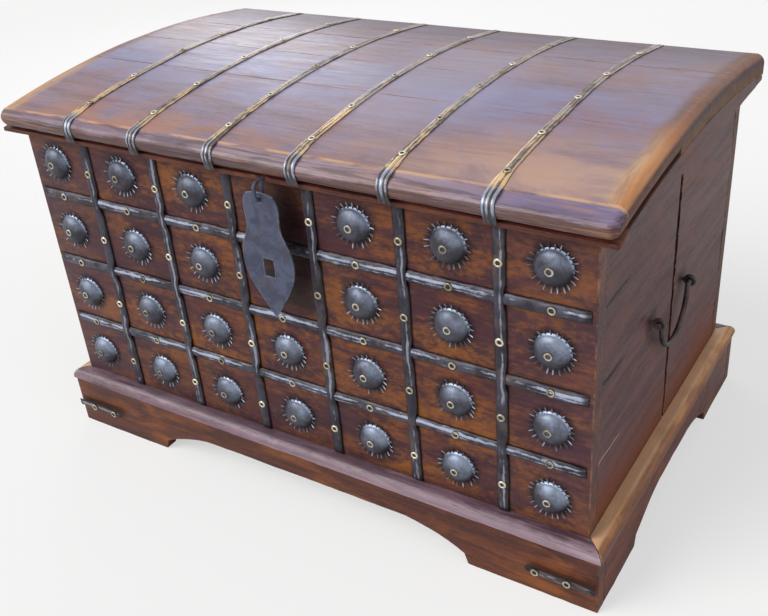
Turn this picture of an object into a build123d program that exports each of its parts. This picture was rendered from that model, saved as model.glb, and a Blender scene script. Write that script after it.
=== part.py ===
"""Iron-bound dowry chest: a boarded carcass on a moulded plinth under a shallow arched lid.

Millimetres. The front faces -Y, X runs along the chest and the floor is z = 0.
"""

from build123d import *
from math import asin, cos, degrees, radians, sin
import os

os.makedirs("parts", exist_ok=True)

# Carcass: front and back boards run the full width, end boards stand between them
carcass_width = 1000
carcass_depth = 609
carcass_height = 475
board = 25
bottom_thickness = 20
bottom_count = 3
board_gap = 1

# Plinth: bracket feet under a moulded top that stands out round the carcass
plinth_height = 118
front_overhang = 24
side_overhang = 28
back_overhang = 36
moulding_height = 20
moulding_width = 62
moulding_round = 16
moulding_lip = 4
plinth_setback = 3
front_foot = 215
side_foot = 156
toe_lean = 6
toe_height = 20
foot_sweep = 108
foot_bow = 5
apron_height = 53
block_size = 42
block_lift = 8

# End seam: the two end boards of each side meet in a lapped joint behind an open groove
seam_offset = 8
seam_groove = 9
seam_lap = 12

# Lid: boards on an arc, carried by a low frame
lid_crown = 68
lid_radius = 1827
lid_thickness = 32
lid_front_overhang = 28
lid_side_overhang = 29
lid_joints = (-112, 8, 130)
lid_end_round = 14
rail_setback = 7
rail_depth = 36
rail_height = 60
gable_width = 40
rib_width = 45
rib_spacing = 330

# Iron strapping on the front and over the lid
strap_width = 18
strap_thickness = 3
strap_heights = (117, 238, 364)
strap_places = (-367.5, -220.5, -73.5, 73.5, 220.5, 367.5)
strap_nail_drops = (8, 4, 5, 2)
strap_end_gap = 8
strap_top_gap = 1
joggle_run = 6
lid_strap_thickness = 2.5
lid_strap_places = (-368, -230, -82, 66, 212, 363)
lid_strap_wrap = 135
lid_strap_back_gap = 5

# Domed bosses with a toothed rim, none in the middle of the rows that the hasp hangs over
boss_columns = 7
hasp_rows = 2
boss_radius = 26
boss_height = 15
boss_sheet = 1.5
tooth_length = 9
tooth_base = 3.8
tooth_count = 22
rim_width = 1.5
rim_thickness = 1.2

# Ringed nails and plain hinge nails, shown as the heads that seat on the iron
nail_radius = 6.5
nail_edge = 0.6
nail_ring = 2.2
nail_eye = 3.2
nail_centre = 1.8
nail_margin = 1
rivet_radius = 5
rivet_height = 2.5
lid_nail_places = (-270, -168, -47, 60, 198)

# Corner irons on the plinth front
iron_length = 107
iron_width = 12
iron_height = 47
iron_nails = (45, 95)

# Hasp and its staple, with the outline measured from the hole
hasp_place = 14
hasp_standoff = 33
hasp_thickness = 3
hasp_hole_height = 452
hasp_hole_radius = 4.2
hasp_slot_width = 18
hasp_slot_height = 29
hasp_slot_drop = 108
hasp_top = 12
hasp_side = ((24, 8), (31, -12), (30, -44), (42, -74), (46, -100), (39, -130), (21, -161), (4, -187))
hasp_tip = -190
staple_wire = 2.75
staple_radius = 8.5
staple_height = 479
staple_depth = 26

# Handles: a half-round bail in two eyes
handle_offset = -18
handle_height = 238
handle_standoff = 12
bail_rod = 4
bail_radius = 59
bail_bend = 8
bail_tail = 11
eye_hole = 4.08
eye_wire = 3
eye_space = 3.5
eye_shank = 25

# Hinges: leaves on the back faces, knuckles on a headed pin
hinge_places = (-300, 300)
hinge_length = 70
leaf_thickness = 3
lower_leaf = 50
upper_leaf = 38
knuckle_radius = 6
knuckle_length = 30
knuckle_gap = 0.5
knuckle_notch = 7
barrel_clearance = 0.3
pin_radius = 3
pin_clearance = 0.05
pin_head_radius = 5
pin_head_height = 2
hinge_nail_drop = 25
hinge_nail_spacing = 42

# The carcass is set back so that the whole chest, staple to plinth, is centred on the origin
front_reach = hasp_standoff + staple_radius + staple_wire
centre_y = (front_reach - back_overhang) / 2
front_y = centre_y - carcass_depth / 2
back_y = centre_y + carcass_depth / 2
inner_front = front_y + board
inner_back = back_y - board
half_width = carcass_width / 2
inner_half = half_width - board
rim_z = plinth_height + carcass_height
up = Vector(0, 0, 1)


def save(piece, name):
    """Label a finished sub-part and write it under the same name."""
    piece.part.label = name
    export_step(piece.part, f"parts/{name}.step")


def slab(x_range, y_range, z_range):
    """A plain board between two corners."""
    with BuildPart() as piece:
        with BuildSketch(Plane.XY.offset(z_range[0])):
            with Locations((sum(x_range) / 2, sum(y_range) / 2)):
                Rectangle(x_range[1] - x_range[0], y_range[1] - y_range[0])
        extrude(amount=z_range[1] - z_range[0])
    return piece


# Front and back boards: two to a face, the front pair meeting behind the middle strap
joint_z = plinth_height + strap_heights[1]
full_width = (-half_width, half_width)
for face, y_range in (("front", (front_y, inner_front)), ("back", (inner_back, back_y))):
    save(slab(full_width, y_range, (plinth_height, joint_z)), f"{face}_board_lower")
    save(slab(full_width, y_range, (joint_z, rim_z)), f"{face}_board_upper")


# End boards: upright pairs whose inner halves lap behind the open seam
seam_front = centre_y + seam_offset - seam_groove / 2
seam_back = centre_y + seam_offset + seam_groove / 2
lap_y = seam_front - seam_lap
handle_y = centre_y + handle_offset
handle_z = plinth_height + handle_height
eye_spread = bail_radius + bail_bend + eye_space


def end_board(side, outer_range, inner_range, eye_y):
    """One end board, its outer and inner halves cut to their own ranges, drilled for an eye."""
    with BuildPart() as piece:
        with BuildSketch(Plane.XY.offset(plinth_height)):
            for depth, (low_y, high_y) in ((board / 4, outer_range), (3 * board / 4, inner_range)):
                with Locations((side * (half_width - depth), (low_y + high_y) / 2)):
                    Rectangle(board / 2, high_y - low_y)
        extrude(amount=carcass_height)
        with BuildSketch(Plane.YZ.offset(side * half_width)):
            with Locations((eye_y, handle_z)):
                Circle(eye_wire)
        extrude(amount=-side * board, mode=Mode.SUBTRACT)
    return piece


for side, hand in ((-1, "left"), (1, "right")):
    front_board = end_board(
        side, (inner_front, seam_front), (inner_front, lap_y), handle_y - eye_spread
    )
    rear_board = end_board(side, (seam_back, inner_back), (lap_y, inner_back), handle_y + eye_spread)
    save(front_board, f"end_board_{hand}_front")
    save(rear_board, f"end_board_{hand}_rear")


# Bottom boards: running along the chest, a little apart
bottom_pitch = (inner_back - inner_front + board_gap) / bottom_count
with BuildPart() as bottom_boards:
    with BuildSketch(Plane.XY.offset(plinth_height)):
        with Locations((0, centre_y)):
            with GridLocations(0, bottom_pitch, 1, bottom_count):
                Rectangle(2 * inner_half, bottom_pitch - board_gap)
    extrude(amount=bottom_thickness)
save(bottom_boards, "bottom_boards")


# Plinth: each side is placed by a point on its nose line and the way it faces
nose_half = half_width + side_overhang
nose_front = front_y - front_overhang
nose_back = back_y + back_overhang
nose_middle = (nose_front + nose_back) / 2
nose_depth = nose_back - nose_front
plinth_sides = (
    ("front", Vector(0, nose_front, 0), Vector(0, -1, 0), nose_half, front_foot),
    ("back", Vector(0, nose_back, 0), Vector(0, 1, 0), nose_half, front_foot),
    ("left", Vector(-nose_half, nose_middle, 0), Vector(-1, 0, 0), nose_depth / 2, side_foot),
    ("right", Vector(nose_half, nose_middle, 0), Vector(1, 0, 0), nose_depth / 2, side_foot),
)
board_top = plinth_height - moulding_height


def plinth_board(face, half_length, foot_edge):
    """A plinth board on its outer face, cut away below between the feet."""
    toe = foot_edge - toe_lean
    sweep = foot_edge - foot_sweep
    bow = ((toe + sweep) / 2, (toe_height + apron_height) / 2 + foot_bow)
    with BuildPart() as piece:
        with BuildSketch(face):
            with Locations((0, board_top / 2)):
                Rectangle(2 * half_length, board_top)
            with BuildLine():
                Line((foot_edge, 0), (toe, toe_height))
                ThreePointArc((toe, toe_height), bow, (sweep, apron_height))
                Line((sweep, apron_height), (0, apron_height))
                mirror(about=Plane.YZ)
                Line((-foot_edge, 0), (foot_edge, 0))
            make_face(mode=Mode.SUBTRACT)
        extrude(amount=-board)
    return piece


def plinth_moulding(nose, outward, half_length):
    """A moulding with a ledge, an ovolo and a lip, mitred at both ends."""
    run = (-outward).cross(up)
    shoulder = board_top + moulding_lip
    rise = plinth_height - shoulder
    bulge = (
        moulding_round * (1 - cos(radians(45))),
        shoulder + rise * sin(radians(45)),
    )
    with BuildPart() as piece:
        with BuildSketch(Plane(nose, x_dir=-outward, z_dir=run)):
            with BuildLine():
                ThreePointArc((0, shoulder), bulge, (moulding_round, plinth_height))
                Line((moulding_round, plinth_height), (moulding_width, plinth_height))
                Line((moulding_width, plinth_height), (moulding_width, board_top))
                Line((moulding_width, board_top), (0, board_top))
                Line((0, board_top), (0, shoulder))
            make_face()
        extrude(amount=half_length, both=True)
        for way in (-1, 1):
            corner = nose + run * way * half_length
            split(bisect_by=Plane(corner, z_dir=run * way - outward), keep=Keep.BOTTOM)
    return piece


for name, nose, outward, half_length, foot in plinth_sides:
    face = Plane(nose - outward * plinth_setback, x_dir=up.cross(outward), z_dir=outward)
    end_lap = 0 if name in ("front", "back") else board
    board_half = half_length - plinth_setback - end_lap
    save(plinth_board(face, board_half, half_length - foot), f"plinth_{name}")
    save(plinth_moulding(nose, outward, half_length), f"plinth_moulding_{name}")


# Corner blocks: glued inside the plinth's corners, clear of the floor
block_x = nose_half - plinth_setback - board - block_size / 2
block_y = nose_depth / 2 - plinth_setback - board - block_size / 2
with BuildPart() as corner_blocks:
    with BuildSketch(Plane.XY.offset(block_lift)):
        with Locations((0, nose_middle)):
            with GridLocations(2 * block_x, 2 * block_y, 2, 2):
                Rectangle(block_size, block_size)
    extrude(amount=board_top - block_lift)
save(corner_blocks, "corner_blocks")


# Corner irons: short straps with a round end, let run to the corners of the plinth front
plinth_half = nose_half - plinth_setback
with BuildPart() as corner_irons:
    with BuildSketch(Plane.XZ.offset(plinth_setback - nose_front)):
        for side in (-1, 1):
            with Locations((side * (plinth_half - iron_length / 2), iron_height)):
                Rectangle(iron_length, iron_width)
            with Locations((side * (plinth_half - iron_length), iron_height)):
                Circle(iron_width / 2)
    extrude(amount=strap_thickness)
save(corner_irons, "corner_irons")


# Horizontal straps: flat on the front boards
for number, height in enumerate(strap_heights, start=1):
    strap_z = plinth_height + height
    with BuildPart() as horizontal_strap:
        with BuildSketch(Plane.XZ.offset(-front_y)):
            with Locations((0, strap_z)):
                Rectangle(carcass_width - 2 * strap_end_gap, strap_width)
        extrude(amount=strap_thickness)
    save(horizontal_strap, f"horizontal_strap_{number}")


# Vertical straps: joggled out over the horizontal ones
def strap_face(lift):
    """The side line of a vertical strap, standing lift off the boards, from bottom to top."""
    points = [(front_y - lift, plinth_height)]
    for height in strap_heights:
        low_z = plinth_height + height - strap_width / 2
        high_z = plinth_height + height + strap_width / 2
        points.append((front_y - lift, low_z - joggle_run))
        points.append((front_y - lift - strap_thickness, low_z))
        points.append((front_y - lift - strap_thickness, high_z))
        points.append((front_y - lift, high_z + joggle_run))
    points.append((front_y - lift, rim_z - strap_top_gap))
    return points


for number, place in enumerate(strap_places, start=1):
    with BuildPart() as vertical_strap:
        with BuildSketch(Plane.YZ.offset(place)):
            with BuildLine():
                Polyline(*strap_face(0), *reversed(strap_face(strap_thickness)), close=True)
            make_face()
        extrude(amount=strap_width / 2, both=True)
    save(vertical_strap, f"vertical_strap_{number}")


# Ringed nail: a raised brass ring round a low centre, standing on z = 0
with BuildPart() as ringed_nail:
    with BuildSketch(Plane.XZ):
        with BuildLine():
            Polyline((0, nail_centre), (0, 0), (nail_radius, 0), (nail_radius, nail_edge))
            ThreePointArc(
                (nail_radius, nail_edge),
                ((nail_radius + nail_eye) / 2, nail_ring),
                (nail_eye, nail_edge),
            )
            Line((nail_eye, nail_edge), (0, nail_centre))
        make_face()
    revolve(axis=Axis.Z)

# Hinge nail: a plain forged dome
with BuildPart() as hinge_nail:
    with BuildSketch(Plane.XZ):
        with BuildLine():
            Polyline((0, rivet_height), (0, 0), (rivet_radius, 0))
            RadiusArc(
                (rivet_radius, 0),
                (0, rivet_height),
                -(rivet_radius**2 + rivet_height**2) / (2 * rivet_height),
            )
        make_face()
    revolve(axis=Axis.Z)


# Bosses: pressed sheet domes, flat under the nail, with a rim of fine teeth
outer_sphere = (boss_radius**2 + boss_height**2) / (2 * boss_height)
inner_sphere = outer_sphere - boss_sheet
sphere_drop = outer_sphere - boss_height
seat_height = (outer_sphere**2 - (nail_radius + nail_margin) ** 2) ** 0.5 - sphere_drop
inner_base = (inner_sphere**2 - sphere_drop**2) ** 0.5
with BuildPart() as boss:
    with BuildSketch(Plane.XZ):
        with Locations((0, -sphere_drop)):
            Circle(outer_sphere)
            Circle(inner_sphere, mode=Mode.SUBTRACT)
        with Locations((boss_radius / 2, seat_height / 2)):
            Rectangle(boss_radius, seat_height, mode=Mode.INTERSECT)
    revolve(axis=Axis.Z)
    with BuildSketch():
        Circle(boss_radius + rim_width)
        with PolarLocations(boss_radius, tooth_count):
            Polygon((0, -tooth_base / 2), (tooth_length, 0), (0, tooth_base / 2), align=None)
        Circle(inner_base, mode=Mode.SUBTRACT)
    extrude(amount=rim_thickness)

column_pitch = strap_places[1] - strap_places[0]
columns = [column_pitch * (column - boss_columns // 2) for column in range(boss_columns)]
row_floors = [0] + [height + strap_width / 2 for height in strap_heights]
row_ceilings = [height - strap_width / 2 for height in strap_heights] + [carcass_height]
rows = [plinth_height + (low + high) / 2 for low, high in zip(row_floors, row_ceilings)]
rows.reverse()
boss_places = []
for number, row_z in enumerate(rows, start=1):
    behind_hasp = number <= hasp_rows
    row_places = [(x, row_z) for x in columns if x != 0 or not behind_hasp]
    boss_places += row_places
    with BuildPart(Plane.XZ.offset(-front_y)) as bosses:
        with Locations(*row_places):
            add(boss.part)
    save(bosses, f"bosses_row_{number}")

with BuildPart(Plane.XZ.offset(-front_y + seat_height)) as boss_nails:
    with Locations(*boss_places):
        add(ringed_nail.part)
save(boss_nails, "boss_nails")


# Front nails: one near the middle of every strap length, and two to each corner iron
nail_rows = [row_z - drop for row_z, drop in zip(rows, strap_nail_drops)]
with BuildPart(Plane.XZ.offset(-front_y + strap_thickness)) as front_nails:
    with Locations(*[(x, z) for x in strap_places for z in nail_rows]):
        add(ringed_nail.part)
    with Locations(*[(x, plinth_height + height) for x in columns for height in strap_heights]):
        add(ringed_nail.part)
    iron_places = [side * (plinth_half - reach) for side in (-1, 1) for reach in iron_nails]
    with Locations(*[(x, iron_height, front_overhang - plinth_setback) for x in iron_places]):
        add(ringed_nail.part)
save(front_nails, "front_nails")


# Lid: angles are measured about the arc's centre, from the crown, positive towards the front
lid_centre = (centre_y, rim_z + lid_crown - lid_radius)
lid_half = half_width + lid_side_overhang
lid_under = lid_radius - lid_thickness
nose_radius = lid_thickness / 2
nose_angle = degrees(asin((carcass_depth / 2 + lid_front_overhang - nose_radius) / (lid_radius - nose_radius)))
back_angle = -degrees(asin((carcass_depth / 2) / lid_radius))
lid_nose = (
    lid_centre[0] - (lid_radius - nose_radius) * sin(radians(nose_angle)),
    lid_centre[1] + (lid_radius - nose_radius) * cos(radians(nose_angle)),
)
joint_angles = [degrees(asin(-joint / lid_radius)) for joint in lid_joints]
back_plane = Plane.XZ.offset(-back_y)


def arc_band(centre, inner, outer, start, end):
    """The band between two radii about a centre, from one angle to another."""
    with BuildSketch() as band:
        with BuildLine():
            under = CenterArc(centre, inner, 90 + start, end - start)
            over = CenterArc(centre, outer, 90 + start, end - start)
            Line(under @ 0, over @ 0)
            Line(under @ 1, over @ 1)
        make_face()
    return band.sketch


# Lid boards: four, the front one with a half-round nose, all rounded over at the ends
board_edges = [nose_angle] + joint_angles + [2 * back_angle]
for number, (front_angle, rear_angle) in enumerate(zip(board_edges, board_edges[1:]), start=1):
    section = arc_band(lid_centre, lid_under, lid_radius, rear_angle, front_angle)
    with BuildPart() as lid_board:
        with BuildSketch(Plane.YZ):
            add(section)
            if number == 1:
                with Locations(lid_nose):
                    Circle(nose_radius)
        extrude(amount=lid_half, both=True)
        if rear_angle < back_angle:
            split(bisect_by=back_plane, keep=Keep.TOP)
        end_arcs = lid_board.faces().filter_by(Axis.X).edges().filter_by(GeomType.CIRCLE)
        fillet(end_arcs.group_by(SortBy.RADIUS)[-1], radius=lid_end_round)
    save(lid_board, f"lid_board_{number}")


def frame_member(plane, y_range, half_length):
    """A lid frame member across y_range, its top cut to the underside of the boards."""
    with BuildPart() as piece:
        with BuildSketch(plane):
            with Locations((sum(y_range) / 2, rim_z + rail_height / 2)):
                Rectangle(y_range[1] - y_range[0], rail_height)
            with Locations(lid_centre):
                Circle(lid_under, mode=Mode.INTERSECT)
            with Locations(lid_nose):
                Circle(nose_radius, mode=Mode.SUBTRACT)
        extrude(amount=half_length, both=True)
    return piece


# Lid frame: front and back rails, gable ends between them, two ribs under the boards
rail_front = front_y - lid_front_overhang + rail_setback
rail_back = rail_front + rail_depth
back_rail_front = back_y - rail_depth
gable_range = (rail_back, back_rail_front)
staple_z = plinth_height + staple_height
plain_rail = frame_member(Plane.YZ, (rail_front, rail_back), lid_half)
with BuildPart() as front_rail:
    add(plain_rail.part)
    with BuildSketch(Plane.XZ.offset(-rail_front)):
        with Locations((hasp_place, staple_z)):
            Circle(staple_wire)
    extrude(amount=-staple_depth, mode=Mode.SUBTRACT)
save(front_rail, "lid_front_rail")
save(frame_member(Plane.YZ, (back_rail_front, back_y), lid_half), "lid_back_rail")
for side, hand in ((-1, "left"), (1, "right")):
    gable_plane = Plane.YZ.offset(side * (lid_half - gable_width / 2))
    save(frame_member(gable_plane, gable_range, gable_width / 2), f"lid_end_{hand}")
rib = frame_member(Plane.YZ.offset(-rib_spacing / 2), gable_range, rib_width / 2)
with BuildPart() as lid_ribs:
    add(rib.part)
    mirror(about=Plane.YZ)
save(lid_ribs, "lid_ribs")


# Lid straps: over the boards and round the nose
strap_back = back_angle + degrees(lid_strap_back_gap / lid_radius)
strap_outside = lid_radius + lid_strap_thickness
nose_outside = nose_radius + lid_strap_thickness
wrap_end = nose_angle + lid_strap_wrap
over_lid = arc_band(lid_centre, lid_radius, strap_outside, strap_back, nose_angle)
round_nose = arc_band(lid_nose, nose_radius, nose_outside, nose_angle, wrap_end)
for number, place in enumerate(lid_strap_places, start=1):
    with BuildPart() as lid_strap:
        with BuildSketch(Plane.YZ.offset(place)):
            add(over_lid)
            add(round_nose)
        extrude(amount=strap_width / 2, both=True)
    save(lid_strap, f"lid_strap_{number}")


# Lid nails: a row along each strap, square to the arc
def lid_seat(x, y):
    """The plane a nail head seats on, on the outside of a lid strap."""
    angle = asin(-y / strap_outside)
    seat = (x, lid_centre[0] + y, lid_centre[1] + strap_outside * cos(angle))
    return Plane(seat, x_dir=(1, 0, 0), z_dir=(0, -sin(angle), cos(angle)))


with BuildPart() as lid_nails:
    with Locations(*[lid_seat(x, y) for x in lid_strap_places for y in lid_nail_places]):
        add(ringed_nail.part)
save(lid_nails, "lid_nails")


# Hasp staple: one wire, let into the front rail and bent into a long eye
hasp_y = front_y - hasp_standoff
hole_z = plinth_height + hasp_hole_height
with BuildPart() as hasp_staple:
    with BuildLine(Plane.YZ.offset(hasp_place)) as wire:
        Line((rail_front + staple_depth, staple_z), (hasp_y, staple_z))
        crown = CenterArc((hasp_y, staple_z - staple_radius), staple_radius, 90, 90)
        eye = CenterArc((hasp_y, hole_z + staple_radius), staple_radius, 180, 180)
        Line(crown @ 1, eye @ 0)
        Line(eye @ 1, (hasp_y + staple_radius, staple_z - staple_wire / 2))
    with BuildSketch(Plane(wire.line @ 0, z_dir=wire.line % 0)):
        Circle(staple_wire)
    sweep(transition=Transition.ROUND)
save(hasp_staple, "hasp_staple")


# Hasp: a flat plate with a round top, a waist, a wide lobe and a pointed foot
hasp_shoulder, hasp_foot = hasp_side[0], hasp_side[-1]
with BuildPart() as hasp:
    with BuildSketch(Plane((hasp_place, hasp_y, hole_z), x_dir=(1, 0, 0), z_dir=(0, -1, 0))):
        with BuildLine():
            Spline(*hasp_side)
            mirror(about=Plane.YZ)
            ThreePointArc((-hasp_shoulder[0], hasp_shoulder[1]), (0, hasp_top), hasp_shoulder)
            ThreePointArc((-hasp_foot[0], hasp_foot[1]), (0, hasp_tip), hasp_foot)
        make_face()
        Circle(hasp_hole_radius, mode=Mode.SUBTRACT)
        with Locations((0, -hasp_slot_drop)):
            Rectangle(hasp_slot_width, hasp_slot_height, mode=Mode.SUBTRACT)
    extrude(amount=hasp_thickness / 2, both=True)
save(hasp, "hasp")


# Handle eyes: shanked rings through the end boards; bails: half-round with turned-out tails
with BuildPart() as handle_eyes:
    for side in (-1, 1):
        eye_x = side * (half_width + handle_standoff)
        for eye_y in (handle_y - eye_spread, handle_y + eye_spread):
            with BuildSketch(Plane.XY.offset(handle_z)):
                with Locations((eye_x + eye_hole + eye_wire, eye_y)):
                    Circle(eye_wire)
            revolve(axis=Axis((eye_x, eye_y, handle_z), (0, 1, 0)))
            with BuildSketch(Plane.YZ.offset(side * (half_width - eye_shank))):
                with Locations((eye_y, handle_z)):
                    Circle(eye_wire)
            extrude(amount=side * (eye_shank + handle_standoff - eye_hole - eye_wire / 2))
save(handle_eyes, "handle_eyes")

for side, hand in ((-1, "left"), (1, "right")):
    with BuildPart() as bail:
        with BuildLine(Plane.YZ.offset(side * (half_width + handle_standoff))) as rod:
            reach = bail_radius + bail_bend
            tail = Line((handle_y - reach - bail_tail, handle_z), (handle_y - reach, handle_z))
            elbow = JernArc(tail @ 1, (0, 1, 0), bail_bend, -90)
            bow = JernArc(elbow @ 1, (0, 0, -1), bail_radius, 180)
            far_elbow = JernArc(bow @ 1, (0, 0, 1), bail_bend, -90)
            Line(far_elbow @ 1, far_elbow @ 1 + Vector(0, bail_tail, 0))
        with BuildSketch(Plane(tail @ 0, z_dir=(0, 1, 0))):
            Circle(bail_rod)
        sweep()
    save(bail, f"handle_bail_{hand}")


# Hinges: the lower leaf carries two knuckles, the upper leaf the one between them
pin_y = back_y + knuckle_radius + barrel_clearance
side_knuckle = (hinge_length - knuckle_length) / 2 - knuckle_gap
side_place = (hinge_length - side_knuckle) / 2


def hinge_leaves(height, direction, knuckles, notches):
    """Both leaves of one kind: plates on the back face, notched clear of the other knuckles."""
    with BuildPart() as piece:
        with BuildSketch(back_plane):
            for place in hinge_places:
                with Locations((place, rim_z + direction * height / 2)):
                    Rectangle(hinge_length, height)
                for offset, length in notches:
                    with Locations((place + offset, rim_z + direction * knuckle_notch / 2)):
                        Rectangle(length, knuckle_notch, mode=Mode.SUBTRACT)
        extrude(amount=-leaf_thickness)
        for place in hinge_places:
            for offset, length in knuckles:
                with BuildSketch(Plane.YZ.offset(place + offset)):
                    with Locations((pin_y, rim_z)):
                        Circle(knuckle_radius)
                extrude(amount=length / 2, both=True)
        with BuildSketch(Plane.YZ):
            with Locations((pin_y, rim_z)):
                Circle(pin_radius + pin_clearance)
        extrude(amount=half_width, both=True, mode=Mode.SUBTRACT)
    return piece


outer_knuckles = ((-side_place, side_knuckle), (side_place, side_knuckle))
middle_knuckle = ((0, knuckle_length),)
outer_notches = (
    (-side_place, side_knuckle + 2 * knuckle_gap),
    (side_place, side_knuckle + 2 * knuckle_gap),
)
middle_notch = ((0, knuckle_length + 2 * knuckle_gap),)
save(hinge_leaves(lower_leaf, -1, outer_knuckles, middle_notch), "hinge_lower_leaves")
save(hinge_leaves(upper_leaf, 1, middle_knuckle, outer_notches), "hinge_upper_leaves")

with BuildPart() as hinge_pins:
    for place in hinge_places:
        with BuildSketch(Plane.YZ.offset(place)):
            with Locations((pin_y, rim_z)):
                Circle(pin_radius)
        extrude(amount=hinge_length / 2, both=True)
        for side in (-1, 1):
            with BuildSketch(Plane.YZ.offset(place + side * hinge_length / 2)):
                with Locations((pin_y, rim_z)):
                    Circle(pin_head_radius)
            extrude(amount=side * pin_head_height)
save(hinge_pins, "hinge_pins")

leaf_face = Plane(back_plane.origin + Vector(0, leaf_thickness, 0), x_dir=(1, 0, 0), z_dir=(0, 1, 0))
for name, direction in (("lower", -1), ("upper", 1)):
    nail_z = rim_z + direction * hinge_nail_drop
    nail_places = [
        place + side * hinge_nail_spacing / 2 for place in hinge_places for side in (-1, 1)
    ]
    with BuildPart(leaf_face) as hinge_nails:
        with Locations(*[(x, -nail_z) for x in nail_places]):
            add(hinge_nail.part)
    save(hinge_nails, f"hinge_{name}_nails")
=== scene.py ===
from math import asin, cos, pi, radians, sin

import bmesh
import bpy
from mathutils import Euler, Matrix, Quaternion, Vector, noise


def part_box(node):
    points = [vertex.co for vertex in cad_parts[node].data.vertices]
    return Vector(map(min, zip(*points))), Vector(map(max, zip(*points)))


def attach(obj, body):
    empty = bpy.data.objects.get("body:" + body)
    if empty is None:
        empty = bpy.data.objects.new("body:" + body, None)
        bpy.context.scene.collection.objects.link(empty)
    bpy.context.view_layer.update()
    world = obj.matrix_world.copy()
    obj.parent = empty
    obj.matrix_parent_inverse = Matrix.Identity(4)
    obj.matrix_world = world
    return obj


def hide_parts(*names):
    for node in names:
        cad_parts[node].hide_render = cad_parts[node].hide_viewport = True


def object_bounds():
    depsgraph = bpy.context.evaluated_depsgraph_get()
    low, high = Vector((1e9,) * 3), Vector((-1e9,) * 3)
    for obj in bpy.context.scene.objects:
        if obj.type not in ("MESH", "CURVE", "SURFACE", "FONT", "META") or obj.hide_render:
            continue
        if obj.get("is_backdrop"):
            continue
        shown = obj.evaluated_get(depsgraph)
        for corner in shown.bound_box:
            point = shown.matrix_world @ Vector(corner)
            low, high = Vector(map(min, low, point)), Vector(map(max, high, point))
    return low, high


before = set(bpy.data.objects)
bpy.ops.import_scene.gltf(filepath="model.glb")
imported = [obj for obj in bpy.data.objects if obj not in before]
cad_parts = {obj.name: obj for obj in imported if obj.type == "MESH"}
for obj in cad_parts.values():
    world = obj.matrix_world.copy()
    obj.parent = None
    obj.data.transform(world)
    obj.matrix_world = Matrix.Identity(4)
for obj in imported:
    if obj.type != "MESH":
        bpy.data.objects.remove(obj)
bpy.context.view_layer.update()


# Plinth: four hardwood boards cut to bracket feet under a mitred top moulding, with blocks glued
# into the corners. Handling has rounded the edges and rubbed them down to paler wood.
class Signal:
    """A shader socket that takes part in arithmetic: every step adds its Math node."""

    def __init__(self, finish, socket):
        self.finish = finish
        self.socket = socket

    def __add__(self, other):
        return self.finish.maths("ADD", self, other)

    def __sub__(self, other):
        return self.finish.maths("SUBTRACT", self, other)

    def __rsub__(self, other):
        return self.finish.maths("SUBTRACT", other, self)

    def __mul__(self, other):
        return self.finish.maths("MULTIPLY", self, other)

    def distance(self, value):
        """How far the signal is from a value, either way."""
        return self.finish.maths("ABSOLUTE", self - value)

    def between(self, low, high):
        """A soft step from 0 at low to 1 at high; it falls instead where low is the larger."""
        steps = {"interpolation_type": "SMOOTHSTEP"}
        limits = {"Value": self, "From Min": low, "From Max": high}
        return self.finish.node("ShaderNodeMapRange", steps, limits)


class Finish:
    """A material, its Principled shader, and the one method that adds any other node to it."""

    def __init__(self, name, **constants):
        self.material = bpy.data.materials.new(name)
        self.material.use_nodes = True
        self.tree = self.material.node_tree
        self.shader = self.tree.nodes["Principled BSDF"]
        self.place = self.node("ShaderNodeTexCoord", output="Object")
        self.feed(self.shader, {key.replace("_", " "): value for key, value in constants.items()})

    def node(self, kind, settings=None, inputs=None, output=0):
        """A new node with its settings and its inputs filled in; returns one of its outputs."""
        added = self.tree.nodes.new(kind)
        for key, value in (settings or {}).items():
            setattr(added, key, value)
        self.feed(added, inputs or {})
        return Signal(self, added.outputs[output])

    def feed(self, added, inputs):
        for key, value in inputs.items():
            if isinstance(value, Signal):
                self.tree.links.new(value.socket, added.inputs[key])
            else:
                added.inputs[key].default_value = value

    def maths(self, operation, first, second=0.0):
        return self.node("ShaderNodeMath", {"operation": operation}, {0: first, 1: second})

    def axis(self, letter):
        """One coordinate, in metres."""
        return self.node("ShaderNodeSeparateXYZ", inputs={0: self.place}, output=letter)

    def speckle(self, frequency, detail=3.0, roughness=0.5, distortion=0.0):
        """Noise with its own number of cycles per metre along each axis."""
        stretched = self.node(
            "ShaderNodeVectorMath", {"operation": "MULTIPLY"}, {0: self.place, 1: frequency}
        )
        shape = {"Scale": 1.0, "Detail": detail, "Roughness": roughness, "Distortion": distortion}
        return self.node("ShaderNodeTexNoise", inputs={"Vector": stretched, **shape})

    def blend(self, under, over, share):
        """One colour laid over another."""
        colours = {0: share, 6: under, 7: over}
        return self.node("ShaderNodeMix", {"data_type": "RGBA"}, colours, output=2)

    def edges(self, radius):
        """1 on arrises and in corners that are sharper than the radius, 0 on the faces."""
        bent = self.node("ShaderNodeBevel", {"samples": 4}, {"Radius": radius}, output="Normal")
        flat = self.node("ShaderNodeNewGeometry", output="Normal")
        agreement = self.node(
            "ShaderNodeVectorMath", {"operation": "DOT_PRODUCT"}, {0: bent, 1: flat}, output="Value"
        )
        return agreement.between(0.99, 0.88)

    def bump(self, height, depth):
        """Raises the surface by height times a depth in metres."""
        relief = self.node("ShaderNodeBump", inputs={"Height": height, "Distance": depth})
        self.feed(self.shader, {"Normal": relief})


def tone(code):
    """A colour written as six hex digits, as it looks on a screen, turned to linear light."""
    parts = [int(code[i : i + 2], 16) / 255 for i in (0, 2, 4)]
    return (*[((p + 0.055) / 1.055) ** 2.4 if p > 0.04 else p / 12.92 for p in parts], 1.0)


def along_grain(direction, length, across):
    """Cycles per metre for a pattern drawn out along one axis."""
    return tuple(length if axis == direction else across for axis in "XYZ")


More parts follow.
